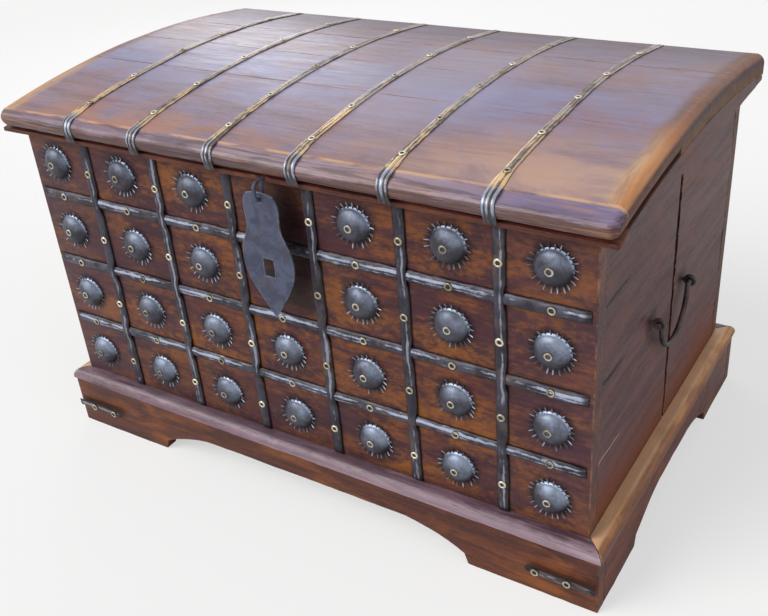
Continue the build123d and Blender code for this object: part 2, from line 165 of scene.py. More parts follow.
def oiled_wood(
    name, direction, dark, middle, light, worn, gloss=0.36, specular=0.22, grain=0.3, patches=0.5,
    dirt_and_shade=0.0, relief=0.0008, story=None
):
    """Oiled hardwood: streaks and pores along the grain, cloudy patches and rubbed edges."""
    finish = Finish(name, Specular_IOR_Level=specular)
    clouds = finish.speckle(along_grain(direction, 7.0, 20.0), 3.0, 0.6, 0.8)
    figure = finish.speckle(along_grain(direction, 3.5, 42.0), 5.0, 0.62, 1.2)
    streaks = finish.speckle(along_grain(direction, 10.0, 150.0), 4.0, 0.6, 0.5)
    pores = finish.speckle(along_grain(direction, 60.0, 620.0), 2.0, 0.5)
    mottle = finish.speckle(along_grain(direction, 90.0, 240.0), 3.0, 0.65)
    fleck = pores.between(0.60, 0.74)
    lines = streaks.between(0.34, 0.66)
    depth = figure.between(0.32, 0.64) * 0.5 + lines * 0.2 + mottle.between(0.30, 0.70) * 0.3
    colour = finish.blend(tone(dark), tone(middle), depth)
    warm = clouds.between(patches - 0.05, patches + 0.22) * (lines * 0.45 + mottle * 0.4 + 0.4)
    colour = finish.blend(colour, tone(light), warm * 0.9)
    colour = finish.blend(colour, tone(dark), lines.between(0.45, 0.0) * grain)
    colour = finish.blend(colour, tone("120806"), fleck * 0.35)
    dulled = 0.0
    if story:
        colour, dulled = story(finish, colour)
    rubbed = finish.speckle((55.0, 55.0, 55.0), 4.0, 0.65)
    wear = finish.edges(0.004) * rubbed.between(0.44, 0.60)
    colour = finish.blend(colour, tone(worn), wear * 0.8)
    # Ambient occlusion darkens the wood in recesses and round the iron: dirt there, and painted shade.
    if dirt_and_shade:
        reach = {"Distance": 0.03}
        open_air = finish.node("ShaderNodeAmbientOcclusion", {"samples": 6}, reach, output="AO")
        colour = finish.blend(colour, tone("1a0e0c"), open_air.between(0.90, 0.30) * dirt_and_shade)
    roughness = lines * 0.10 + clouds * 0.16 + fleck * 0.12 + wear * 0.12 + dulled + (gloss - 0.12)
    finish.feed(finish.shader, {"Base Color": colour, "Roughness": roughness})
    finish.bump(figure * 0.8 + lines * 0.18 - fleck * 0.25 - wear * 0.3, relief)
    return finish


def settled(name, mesh):
    """Turns a bmesh that is done into a mesh that an object can hold."""
    data = bpy.data.meshes.new(name)
    mesh.to_mesh(data)
    mesh.free()
    return data


def new_piece(name, mesh, finish, body, slot, *nodes):
    """A finished bmesh becomes an object that rides on a body and stands for CAD nodes."""
    data = settled(name, mesh)
    data.set_sharp_from_angle(angle=radians(48))
    data.materials.append(finish.material)
    piece = bpy.data.objects.new(name, data)
    bpy.context.scene.collection.objects.link(piece)
    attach(piece, body)
    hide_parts(*nodes)
    return piece


def worn_copy(
    node, finish, body, slot, rounding=0.0018, wander=0.0005, pitch=0.014, every_way=False,
    shaping=None
):
    """A board or plate as handling leaves it: arrises rounded, faces and edges a little uneven."""
    mesh = bmesh.new()
    mesh.from_mesh(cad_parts[node].data)
    bmesh.ops.remove_doubles(mesh, verts=mesh.verts, dist=2e-5)
    bmesh.ops.dissolve_limit(mesh, angle_limit=radians(0.4), verts=mesh.verts, edges=mesh.edges)
    sharp = [edge for edge in mesh.edges if edge.calc_face_angle(0.0) > radians(30)]
    rounded = {"affect": "EDGES", "segments": 3, "profile": 0.5, "material": -1}
    bmesh.ops.bevel(mesh, geom=sharp, offset=rounding, clamp_overlap=True, **rounded)
    low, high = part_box(node)
    size = high - low
    longest = max(range(3), key=lambda i: size[i])
    for i in range(3) if every_way else [longest]:
        cuts = round(size[i] / pitch)
        normal = Vector(1.0 if j == i else 0.0 for j in range(3))
        for cut in range(1, cuts):
            point = low + normal * size[i] * cut / cuts
            whole = mesh.verts[:] + mesh.edges[:] + mesh.faces[:]
            bmesh.ops.bisect_plane(mesh, geom=whole, plane_co=point, plane_no=normal)
    if shaping:
        shaping(mesh)
    # A cut that passes close to a corner leaves a sliver, which is merged away.
    bmesh.ops.remove_doubles(mesh, verts=mesh.verts, dist=4e-5)
    mesh.normal_update()
    for vert in mesh.verts:
        slow = noise.noise(vert.co * 14.0)
        quick = noise.noise(vert.co * 65.0)
        vert.co -= vert.normal * wander * max(0.0, 0.8 + slow + 0.7 * quick)
    bmesh.ops.triangulate(mesh, faces=[face for face in mesh.faces if len(face.verts) > 4])
    for face in mesh.faces:
        face.smooth = True
    piece = new_piece(f"{node}_worn", mesh, finish, body, slot, node)
    piece.modifiers.new("even_shading", "WEIGHTED_NORMAL").keep_sharp = True


plinth_tones = {"dark": "371f1e", "middle": "643829", "light": "8a5028", "worn": "8a5c42"}
long_plinth_wood = oiled_wood("plinth_wood_long", "X", **plinth_tones, dirt_and_shade=0.5)
side_plinth_tones = {"dark": "381a16", "middle": "68342a", "light": "8c4c28", "worn": "a87c5c"}
side_plinth_wood = oiled_wood("plinth_wood_side", "Y", **side_plinth_tones, dirt_and_shade=0.5)
moulding_tones = {"dark": "48313a", "middle": "7d6270", "light": "9a8290", "worn": "ae9692"}


def nose_highlight_and_grease(finish, colour):
    """The nose of the long mouldings gets a pale painted highlight towards the right, and the ledge is
    dark with grease.
    """
    x, z = finish.axis("X"), finish.axis("Z")
    ledge = z.between(0.1120, 0.1150) * x.distance(-0.10).between(0.40, 0.20)
    colour = finish.blend(colour, tone("55444e"), ledge * 0.45)
    # A pale painted highlight on the nose, growing towards the right.
    nose = z.between(0.1130, 0.1090) * x.between(-0.25, 0.15)
    return finish.blend(colour, tone("b9a3af"), nose * 0.35), 0.0


long_moulding_wood = oiled_wood(
    "moulding_wood_long", "X", **moulding_tones, specular=0.45, grain=0.8, story=nose_highlight_and_grease
)
side_moulding_tones = {"dark": "74442a", "middle": "b1723f", "light": "d8a064", "worn": "d6b48c"}


def ridge_light_and_shade(finish, colour):
    """The side mouldings: the top of the ledge painted pale as painted light, and the nose under it
    painted darker as shade.
    """
    z = finish.axis("Z")
    # Painted shade on the nose, and painted light on the top of the ledge.
    colour = finish.blend(colour, tone("5e3420"), z.between(0.115, 0.104) * 0.7)
    return finish.blend(colour, tone("ecc29c"), z.between(0.1150, 0.1178) * 0.7), 0.0


side_moulding_wood = oiled_wood(
    "moulding_wood_side", "Y", **side_moulding_tones, specular=0.4, story=ridge_light_and_shade
)
bare_wood = oiled_wood("bare_wood", "X", "4a3020", "6e4c34", "8a6444", "9a7858", gloss=0.62)
for side in ("front", "back", "left", "right"):
    lengthwise = side in ("front", "back")
    board_finish = long_plinth_wood if lengthwise else side_plinth_wood
    moulding_finish = long_moulding_wood if lengthwise else side_moulding_wood
    worn_copy(f"plinth_{side}", board_finish, "carcass", "plinth_wood", rounding=0.002, wander=0.0007)
    moulding = f"plinth_moulding_{side}"
    worn_copy(moulding, moulding_finish, "carcass", "plinth_wood", rounding=0.0012, wander=0.0007)
worn_copy("corner_blocks", bare_wood, "carcass", "inner_wood")


# Carcass: wide dark boards. The front is darkest where iron and hands have kept it greasy, with
# painted shade round the bosses and the hasp's painted shadow, and the end boards have dried out,
# with their joint open and short shakes running in from the front.
column_pitch = 0.147
boss_rows = [sum(corner.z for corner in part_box(f"bosses_row_{row}")) / 2 for row in (1, 2, 3, 4)]
hasp_x = sum(corner.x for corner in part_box("hasp")) / 2


def amber_grease_and_shade(finish, colour):
    """Amber where hands have polished it, grease and painted shade round every boss, and the hasp's
    painted shadow.
    """
    x, z = finish.axis("X"), finish.axis("Z")
    drift = finish.speckle((6.0, 15.0, 15.0), 4.0, 0.65, 0.4)
    fine = finish.speckle((70.0, 130.0, 130.0), 3.0, 0.7)
    colour = finish.blend(colour, tone("8c5420"), (drift + fine * 0.6).between(0.74, 1.02) * 0.75)
    colour = finish.blend(colour, tone("3e1c28"), (drift + fine * 0.5).between(0.74, 0.58) * 0.5)
    faded = x.between(-0.28, -0.50) * 0.45 + x.between(0.30, 0.50) * 0.25
    colour = finish.blend(colour, tone("4e3d48"), faded * (fine * 0.8 + 0.5))
    low = z.between(0.25, 0.16) * x.between(0.20, -0.05) * x.between(-0.42, -0.30)
    colour = finish.blend(colour, tone("2c1826"), low * 0.4)
    aside = finish.maths("PINGPONG", x, column_pitch / 2)
    nearest = z.distance(boss_rows[0])
    for row in boss_rows[1:]:
        nearest = finish.maths("MINIMUM", nearest, z.distance(row))
    reach = finish.maths("SQRT", aside * aside + nearest * nearest)
    bare = x.distance(0.0).between(0.060, 0.058) * z.between(0.358, 0.360)
    # Grease and painted shade in a ring round each boss.
    grease_and_shade_ring = (reach + fine * 0.012).between(0.046, 0.034) * (1.0 - bare)
    colour = finish.blend(colour, tone("21151a"), grease_and_shade_ring * 0.6)
    # The hasp's painted shadow on the boards behind and beside it.
    hasp_shadow = x.distance(hasp_x).between(0.060, 0.035) * z.distance(0.475).between(0.115, 0.085)
    return finish.blend(colour, tone("1e100e"), hasp_shadow * 0.75), 0.0


front_tones = {"dark": "2b1c22", "middle": "532f33", "light": "7a4522", "worn": "a5805f"}
front_wood = oiled_wood("front_wood", "X", **front_tones, dirt_and_shade=0.7, story=amber_grease_and_shade)
back_wood = oiled_wood("back_wood", "X", "35201a", "5c3a2d", "7a4e34", "94745c", gloss=0.5)
eyes_low, eyes_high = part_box("handle_eyes")
eye_wire = 0.003
eye_places = (eyes_low.y + eye_wire, eyes_high.y - eye_wire)
eye_height = (eyes_low.z + eyes_high.z) / 2


def shakes_and_rust(finish, colour):
    """Cracks near the front arris, rust round the handle eyes, a warm foot and a dark open joint."""
    y, z = finish.axis("Y"), finish.axis("Z")
    wander = finish.speckle((20.0, 20.0, 20.0), 2.0) * 0.012
    shakes = (
        (-0.268, -0.175, 0.492, "0c0606", 0.0042),
        (-0.286, -0.184, 0.370, "0c0606", 0.0042),
        (-0.300, -0.185, 0.240, "c3a184", 0.0014),
    )
    for start, stop, height, shade, width in shakes:
        line = (z + wander).distance(height).between(width, width * 0.4)
        crack = line * y.between(start - 0.01, start) * y.between(stop, stop - 0.03)
        colour = finish.blend(colour, tone(shade), crack * 0.95)
    for place in eye_places:
        away = (y - place) * (y - place) + (z - eye_height) * (z - eye_height)
        ring = finish.speckle((60.0, 60.0, 60.0), 3.0, 0.6) * 0.0006
        colour = finish.blend(colour, tone("2a1410"), (away + ring).between(0.0012, 0.0002) * 0.85)
    drift = finish.speckle((9.0, 9.0, 9.0), 3.0)
    low = (z + drift * 0.12).between(0.31, 0.17)
    colour = finish.blend(colour, tone("70340f"), low * 0.8)
    width = z.between(0.18, 0.50) * 0.003 + drift * 0.004
    gap = ((y + (wander - 0.006) * 0.5).distance(0.0121) - width).between(0.003, 0.0005)
    return finish.blend(colour, tone("180d0d"), gap * 0.85), 0.0


end_tones = {"dark": "3a2528", "middle": "6a4b4c", "light": "774d40", "worn": "a98672"}
end_wood = oiled_wood(
    "end_wood", "Y", **end_tones, gloss=0.5, patches=0.54, dirt_and_shade=0.5, story=shakes_and_rust
)
for level in ("lower", "upper"):
    front_board, back_board = f"front_board_{level}", f"back_board_{level}"
    worn_copy(front_board, front_wood, "carcass", "carcass_wood", rounding=0.0012, wander=0.0004)
    worn_copy(back_board, back_wood, "carcass", "carcass_wood", rounding=0.0012)
for hand in ("left", "right"):
    for part in ("front", "rear"):
        end_board = f"end_board_{hand}_{part}"
        worn_copy(end_board, end_wood, "carcass", "carcass_wood", rounding=0.0016, wander=0.0008)
worn_copy("bottom_boards", bare_wood, "carcass", "inner_wood")


# Front strapping: half-round iron strips with a forged, uneven surface, rubbed bright in lines along
# them, with a painted highlight beside the crown and painted shade at the edges and sides. The
# horizontal ones lie on the boards and the upright ones are hammered down over them at every crossing.
def iron(
    name, dark, middle, bright, rust, gloss=0.4, metal=0.4, scale=1.0, rim=None, blotchy=0.9,
    gritty=0.6, rubbing=(0.98, 1.45), darkening=0.85
):
    """Forged iron, mottled, with rust: worn brightens it (rubbing and painted highlights),
    grime_and_shade darkens it.
    """
    finish = Finish(name)
    mottle = finish.speckle((38.0 * scale,) * 3, 4.0, 0.6, 0.5)
    grit = finish.speckle((260.0 * scale,) * 3, 3.0, 0.6)
    spots = finish.speckle((24.0 * scale,) * 3, 5.0, 0.7)
    rubbed = finish.node("ShaderNodeAttribute", {"attribute_name": "worn"}, output="Fac")
    if rim:
        rubbed = rubbed + finish.edges(rim) * 0.5
    grime_and_shade = finish.node("ShaderNodeAttribute", {"attribute_name": "grime_and_shade"}, output="Fac")
    shine = (rubbed + mottle * blotchy + grit * gritty).between(*rubbing)
    rusty = spots.between(0.54, 0.68) * (1.0 - shine)
    colour = finish.blend(tone(dark), tone(middle), mottle.between(0.40, 0.60))
    colour = finish.blend(colour, tone(rust), rusty * 0.7)
    colour = finish.blend(colour, bright(finish) if callable(bright) else tone(bright), shine)
    # Darkening by grime_and_shade: soot, and painted shade on the sides of the strips and on the domes'
    # lower side.
    darkened = grime_and_shade.between(0.35, 0.9) * (darkening(finish) if callable(darkening) else darkening)
    colour = finish.blend(colour, tone("181112"), darkened)
    roughness = mottle * 0.2 + grit * 0.14 + rusty * 0.25 - shine * 0.12 + (gloss - 0.14)
    metallic = (1.0 - rusty * 0.8) * metal
    looks = {"Base Color": colour, "Roughness": roughness, "Metallic": metallic}
    finish.feed(finish.shader, looks)
    finish.bump(mottle * 0.6 + grit * 0.35 + rusty * 0.3, 0.0007)
    return finish


def half_round(u):
    """Height, painted highlights beside the crown, one stronger, and painted shade at the edges, for u
    in -1 to 1.
    """
    crown = max(0.1, 1 - 0.9 * u * u) ** 0.5
    # A painted highlight along one side of the crown, and a weaker one along the other side.
    streaks = max(0.0, 1 - abs(u - 0.34) / 0.36) + 0.45 * max(0.0, 1 - abs(u + 0.34) / 0.22)
    return crown, 0.95 * streaks, max(0.0, 3 * abs(u) - 2.1)


def three_ridges(u):
    """Height, brightness and dark grooves across a strip with a bead on each edge and one along the
    middle.
    """
    wave = 0.5 + 0.5 * cos(2 * pi * u / 0.8)
    crown = (0.55 + 0.15 * (1 - u * u) + 0.30 * wave) * max(0.4, 1 - 0.5 * u**4)
    return crown, 0.75 * wave - 0.12 * u, 0.85 * (1 - wave) ** 2


def forged_strip(length, width, height, place, seed, section=half_round, step=0.004, lanes=14):
    """A closed strip with a crowned section, uneven as forging leaves it, laid out by place()."""
    mesh = bmesh.new()
    bmesh.ops.create_cube(mesh, size=1.0, matrix=Matrix.Translation((0.5, 0.0, 0.5)))
    for axis, cuts in ((0, round(length / step) - 1), (1, lanes - 1)):
        lines = [e for e in mesh.edges if abs(e.verts[0].co[axis] - e.verts[1].co[axis]) > 0.5]
        bmesh.ops.subdivide_edges(mesh, edges=lines, cuts=cuts)
    worn = mesh.verts.layers.float.new("worn")
    grime_and_shade = mesh.verts.layers.float.new("grime_and_shade")
    for vert in mesh.verts:
        s, u, top = vert.co.x * length, vert.co.y * 2, vert.co.z
        crown, shine, dirt_and_shade = section(u + 0.2 * noise.noise(Vector((s * 22, seed, 1.5))))
        end = max(0.05, min(1.0, min(s, length - s) / (0.45 * width)))
        handled = min(1.0, min(s, length - s) / 0.02)
        hammer = noise.noise(Vector((s * 80, u * 1.5, seed)))
        ragged = noise.noise(Vector((s * 95, 6 * u, seed + 9.5)))
        rubbed = noise.noise(Vector((s * 14, u, seed + 3.5)))
        # worn carries the section's painted highlights along with rubbing; grime_and_shade paints shade
        # on the sides and underside, with the section's painted shade at the edges or dirt in the
        # grooves, and the dark strap ends.
        vert[worn] = shine * (0.75 + rubbed + 0.5 * ragged) + 0.35 * rubbed + 0.5 * max(0.0, ragged)
        vert[grime_and_shade] = dirt_and_shade + 0.6 * (1 - top) - 0.2 * rubbed + 1.1 * (1 - handled)
        across = u * width / 2 * (1 + 0.06 * noise.noise(Vector((s * 28, seed, u))) + 0.05 * ragged)
        lift = top * height * (crown + 0.14 * hammer) * (end * (2 - end)) ** 0.5
        vert.co = place(s, across, lift)
    bmesh.ops.recalc_face_normals(mesh, faces=mesh.faces)
    for face in mesh.faces:
        face.smooth = True
    return mesh


strap_iron = iron("strap_iron", "2a2730", "474552", "a8b0c6", "5c4840", rubbing=(1.00, 1.62))
# The horizontal straps, whose upper half faces the sky, get brighter iron and more painted highlights;
# the uprights' darker iron is painted shade.
upright_iron = iron("upright_iron", "282530", "3f3c48", "8a8c9a", "50423a", rubbing=(1.18, 1.74))
strap_width = 0.018
strap_height = 0.0050
for number in (1, 2, 3):
    node = f"horizontal_strap_{number}"
    low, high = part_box(node)
    back_y, middle_z = high.y, (low.z + high.z) / 2

    def on_front(s, across, lift):
        sag = 0.0006 * noise.noise(Vector((s * 9, number, 0)))
        return Vector((low.x + s, back_y - lift, middle_z + across + sag))

    strip = forged_strip(high.x - low.x, strap_width, strap_height, on_front, number)
    new_piece(f"{node}_forged", strip, strap_iron, "carcass", "strap_iron", node)

crossings = [sum(corner.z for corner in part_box(f"horizontal_strap_{n}")) / 2 for n in (1, 2, 3)]
crossing_step = 0.0026
crossing_squeeze = 0.16
crossing_reach = (0.024, 0.010)


def ease(value, start, stop):
    """0 up to start and 1 from stop on, with a smooth step between them."""
    share = min(1.0, max(0.0, (value - start) / (stop - start)))
    return share * share * (3 - 2 * share)


for number in range(1, 7):
    node = f"vertical_strap_{number}"
    low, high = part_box(node)
    back_y, middle_x = high.y, (low.x + high.x) / 2

    def up_front(s, across, lift):
        z = low.z + s
        over = ease(min(abs(z - crossing) for crossing in crossings), *crossing_reach)
        bend = 0.0011 * noise.noise(Vector((z * 7, number, 4)))
        x = middle_x + across * (1 - crossing_squeeze * over) + bend
        return Vector((x, back_y - lift - crossing_step * over, z))

    strip = forged_strip(high.z - low.z, strap_width, strap_height, up_front, 20 + number)
    new_piece(f"{node}_forged", strip, upright_iron, "carcass", "strap_iron", node)


# Corner irons: two short forged straps on the front feet, which start at the plinth's corners.
# Their inner ends are rounded, and two ringed nails hold each of them.
iron_low, iron_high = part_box("corner_irons")
iron_width = iron_high.z - iron_low.z
iron_middle = (iron_low.z + iron_high.z) / 2
iron_reach = 0.113
iron_run = 0.110
iron_height = 0.0024
mesh = bmesh.new()
for side in (-1, 1):

    def on_foot(s, across, lift):
        tip = min(1.0, s / (iron_width / 2))
        taper = max(0.05, (1 - (1 - tip) ** 2)) ** 0.5
        x = side * (iron_high.x - iron_reach + s)
        return Vector((x, iron_high.y - lift, iron_middle + across * taper))

    strip = forged_strip(iron_run, iron_width, iron_height, on_foot, 30 + side, step=0.003, lanes=8)
    one = settled("one_iron", strip)
    mesh.from_mesh(one)
    bpy.data.meshes.remove(one)
foot_iron = iron("foot_iron", "31282b", "544a4e", "8e8b98", "5e4438", gloss=0.5)
new_piece("corner_irons_forged", mesh, foot_iron, "carcass", "strap_iron", "corner_irons")


# Bosses: hollow domes pressed from sheet over a thin flange, whose rim is snipped into fine
# spikes that stand up a little, with painted glints at the tips. Each dome has a painted highlight
# on its upper side and painted shade on its lower right.
boss_radius = 0.026
boss_height = 0.0148
boss_rings = 9
dome_edge = radians(84)
flange_radius = 0.0275
spike_count = 22
spike_reach = 0.0350
spike_root = 0.0015
spike_tip = 0.0006


def turned_round(profile, steps):
    """A closed round mesh turned from (radius, height, brightness) points, foot to top."""
    mesh = bmesh.new()
    worn = mesh.verts.layers.float.new("worn")
    verts = []
    for radius, height, shine in profile:
        verts.append(mesh.verts.new((radius, 0.0, height)))
        verts[-1][worn] = shine
    edges = [mesh.edges.new(pair) for pair in zip(verts, verts[1:])]
    turn = {"cent": (0, 0, 0), "axis": (0, 0, 1), "angle": 2 * pi, "steps": steps, "use_merge": True}
    bmesh.ops.spin(mesh, geom=verts + edges, **turn)
    bmesh.ops.remove_doubles(mesh, verts=mesh.verts, dist=1e-6)
    bmesh.ops.recalc_face_normals(mesh, faces=mesh.faces)
    return mesh


def boss_mesh(seed):
    """One boss standing on z = 0, a little dented and with its own uneven spikes."""
    profile = [(0.0, 0.0, 0.0), (flange_radius, 0.0, 0.0)]
    profile += [(flange_radius, 0.0010, 0.0), (boss_radius, 0.0016, 0.0)]
    for ring in reversed(range(boss_rings)):
        angle = dome_edge * ring / boss_rings
        profile.append((boss_radius * sin(angle), boss_height * cos(angle), 0.0))
    mesh = turned_round(profile, 36)
    worn = mesh.verts.layers.float["worn"]
    grime_and_shade = mesh.verts.layers.float.new("grime_and_shade")
    polish = 0.05 + 0.14 * noise.noise(Vector((seed * 1.9, 4.5, 0)))
    # Painted light: a highlight on each dome's upper side and upper rim, and painted shade on its lower
    # right and the rest of the rim.
    for vert in mesh.verts:
        rim = vert.co.xy.length > 0.97 * boss_radius
        upper = (0.85 * vert.co.y + 0.35 * vert.co.x) / boss_radius
        lower = (0.45 * vert.co.x - 0.9 * vert.co.y) / boss_radius
        vert[worn] = polish + 0.40 * min(0.6, upper) + 0.4 * rim * max(0.0, upper)
        vert[grime_and_shade] = 0.75 * rim * (upper < 0.2) + 0.92 * max(0.0, lower)
        dent = noise.noise(vert.co * 60 + Vector((seed, 0, 0)))
        if vert.co.z > 0.0005:
            vert.co.z += 0.0007 * dent
    cone = {"cap_ends": True, "segments": 5, "radius1": spike_root, "radius2": spike_tip}
    for number in range(spike_count):
        wobble = noise.noise(Vector((seed * 3.7, number * 1.3, 0)))
        handled = max(0.0, 0.45 + 1.5 * noise.noise(Vector((seed * 2.3, number * 2.9, 7))))
        length = spike_reach - boss_radius + 0.001 + 0.002 * wobble
        start = Matrix.Translation((0, 0, length / 2))
        spike = bmesh.ops.create_cone(mesh, depth=length, matrix=start, **cone)["verts"]
        # Painted glints at some spike tips, and painted shade at the roots.
        for vert in spike:
            share = vert.co.z / length
            vert.co.x *= 0.6
            vert[worn] = handled * share**2
            vert[grime_and_shade] = 0.75 * (1 - share)
        lean = Matrix.Rotation(radians(72 + 10 * wobble), 4, "Y")
        out = Matrix.Translation((boss_radius - 0.001, 0, 0.0011))
        turned = Matrix.Rotation(2 * pi * (number + 0.25 * wobble) / spike_count + seed, 4, "Z")
        bmesh.ops.transform(mesh, matrix=turned @ out @ lean, verts=spike)
    for face in mesh.faces:
        face.smooth = True
    return mesh


def gather(mesh, part, matrix):
    """Adds a copy of a small mesh to a larger one, moved into place."""
    first = len(mesh.verts)
    mesh.from_mesh(part)
    mesh.verts.ensure_lookup_table()
    bmesh.ops.transform(mesh, matrix=matrix, verts=mesh.verts[first:])


def facing_front(x, y, z, spin=0.0):
    """Stands something made on z = 0 on the chest's front."""
    upright = Matrix.Rotation(pi / 2, 4, "X") @ Matrix.Rotation(spin, 4, "Z")
    return Matrix.Translation((x, y, z)) @ upright


boss_rub = {"scale": 0.8, "blotchy": 0.4, "gritty": 0.25, "rubbing": (0.36, 1.02)}
boss_iron = iron("boss_iron", "34323c", "474956", "9aa7bf", "463f46", gloss=0.46, **boss_rub)
front_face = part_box("front_board_lower")[0].y
boss_places = []
for row, z in enumerate(boss_rows, 1):
    node = f"bosses_row_{row}"
    mesh = bmesh.new()
    for column in range(-3, 4):
        behind_hasp = column == 0 and row < 3
        if not behind_hasp:
            boss = settled("boss", boss_mesh((row * 10 + column) * 0.73))
            gather(mesh, boss, facing_front(column * column_pitch, front_face, z))
            bpy.data.meshes.remove(boss)
            boss_places.append((column * column_pitch, z))
    new_piece(f"{node}_pressed", mesh, boss_iron, "carcass", "boss_iron", node)


# Ringed nails: small brass heads, one on every boss and on every length of strap. Each is a ring
# pressed down round a dark sunk centre, and those on the upright and lid straps are rubbed bright.
nail_radius = 0.0066
head_section = (
    (0.00, -0.0010, 0.00),
    (1.00, -0.0010, 0.00),
    (1.00, 0.0006, 0.50),
    (0.86, 0.0018, 0.90),
    (0.70, 0.0021, 1.00),
    (0.54, 0.0016, 0.70),
    (0.44, 0.0004, 0.05),
    (0.16, 0.0002, 0.00),
    (0.00, 0.0007, 0.35),
)


def ringed_nail(rub):
    """One nail head standing on z = 0, with its ring rubbed more or less bright."""
    mesh = turned_round([(r * nail_radius, z, shine * rub) for r, z, shine in head_section], 14)
    for face in mesh.faces:
        face.smooth = True
    return settled("nail", mesh)


brass = Finish("nail_brass")
tarnish = brass.speckle((120.0,) * 3, 3.0, 0.6)
ring = brass.node("ShaderNodeAttribute", {"attribute_name": "worn"}, output="Fac")
ring_mask = (ring + (tarnish - 0.5) * 0.6).between(0.22, 0.70)
patina = brass.speckle((9.0,) * 3, 1.0)
ring_colour = brass.blend(tone("d2c9b4"), tone("a0957e"), patina.between(0.46, 0.60))
brass_colour = brass.blend(tone("1d1712"), ring_colour, ring_mask)
brass.feed(brass.shader, {"Base Color": brass_colour, "Metallic": ring_mask * 0.65})
brass.feed(brass.shader, {"Roughness": 0.62 - ring_mask * 0.28})
brass.bump(tarnish, 0.0003)

bright_nail = ringed_nail(1.0)
dull_nail = ringed_nail(0.56)
mesh = bmesh.new()
boss_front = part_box("boss_nails")[1].y
for number, (x, z) in enumerate(boss_places):
    gather(mesh, dull_nail, facing_front(x, boss_front, z, number))
new_piece("boss_nails_ringed", mesh, brass, "carcass", "nail_brass", "boss_nails")

strap_places = [sum(corner.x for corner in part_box(f"vertical_strap_{n}")) / 2 for n in range(1, 7)]
strap_front = front_face - strap_height * 0.94
nail_drops = (0.008, 0.004, 0.005, 0.002)
iron_nail_reaches = (0.045, 0.095)
mesh = bmesh.new()
for x in strap_places:
    for z, drop in zip(boss_rows, nail_drops):
        gather(mesh, bright_nail, facing_front(x, strap_front, z - drop, x))
for column in range(-3, 4):
    for z in crossings:
        gather(mesh, dull_nail, facing_front(column * column_pitch, strap_front, z, column))
for side in (-1, 1):
    for reach in iron_nail_reaches:
        x = side * (iron_high.x - reach)
        gather(mesh, dull_nail, facing_front(x, iron_low.y, iron_middle))
new_piece("front_nails_ringed", mesh, brass, "carcass", "nail_brass", "front_nails")


# Hinges: two pairs of plain forged leaves at the back, with knuckles rolled round headed pins,
# held by rough round nails.
dark_iron = iron("dark_iron", "2a2426", "4a4042", "908a8c", "5a3626", gloss=0.5, rim=0.001)


def finish_node(node, finish):
    """Gives a finish to a CAD node that is shown as it is."""
    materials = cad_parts[node].data.materials
    materials.clear()
    materials.append(finish.material)


for part in ("lower_leaves", "upper_leaves", "pins", "lower_nails", "upper_nails"):
    finish_node(f"hinge_{part}", dark_iron)


# Lid: four wide boards on an arc, the front one finished with a half-round nose, on a low frame.
# The top is polished by use and carries a painted sheen, with painted shade towards the back, and
# its front arris and both ends are rubbed through to orange wood.
lid_radius = 1.827
lid_crown = 0.068
lid_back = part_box("lid_back_rail")[1].y
carcass_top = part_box("front_board_upper")[1].z
lid_centre = Vector((0.0, (front_face + lid_back) / 2, carcass_top + lid_crown - lid_radius))
arris_middle = -0.306
arris_skew = 0.019


def top_sheen_and_wear(finish, colour, cloud, brown):
    """A violet painted sky sheen over the top, kept off the front right-hand corner, which hands have
    worn warm.
    """
    x, y = finish.axis("X"), finish.axis("Y")
    # Painted reflection: a violet sheen of the sky in patches, with a band across the middle.
    sky_sheen = finish.speckle((6.0, 9.0, 9.0), 5.0, 0.65, 0.8)
    corner = x.between(0.02, 0.44) * y.between(-0.10, -0.27)
    sheen_band = y.between(-0.21, -0.13) * y.between(0.06, -0.08) * 0.5
    share = sky_sheen.between(0.42, 0.64) * 0.55 + sheen_band
    colour = finish.blend(colour, tone("8380a6"), share * (1.0 - corner))
    colour = finish.blend(colour, tone("95594a"), cloud.between(0.48, 0.70) * 0.4)
    colour = finish.blend(colour, tone("c8a28c"), corner * cloud.between(0.26, 0.60) * 0.75)
    colour = finish.blend(colour, tone("6b4a48"), brown.between(0.48, 0.66) * (0.42 - x * 0.3))
    fringe = y.between(-0.235, -0.300) * cloud.between(0.40, 0.60)
    colour = finish.blend(colour, tone("ae7452"), fringe * x.between(0.30, -0.10) * 0.65)
    # A pale painted sheen patch in the middle of the top.
    sheen_patch = x.distance(0.14).between(0.15, 0.05) * y.distance(-0.03).between(0.24, 0.12)
    return finish.blend(colour, tone("a49cb4"), sheen_patch * 0.4)


def rubbed_ends(finish, colour, cloud):
    """Orange wood along both ends, where carrying has rubbed the stain away; it lies over the painted
    sheen.
    """
    x, y = finish.axis("X"), finish.axis("Y")
    bare = finish.blend(tone("5c2c0e"), tone("c89f75"), y.between(-0.04, -0.20))
    brushed = finish.speckle((160.0, 14.0, 60.0), 3.0, 0.6)
    bare = finish.blend(bare, tone("7a4c34"), brushed.between(0.46, 0.66) * 0.5)
    reach = x.distance(0.0) + (cloud - 0.5) * 0.024
    colour = finish.blend(colour, bare, reach.between(0.490, 0.509) * 0.85)
    rim = finish.blend(tone("7c4410"), tone("c8782c"), y.between(0.05, -0.20))
    return finish.blend(colour, rim, x.distance(0.0).between(0.507, 0.520) * 0.55)


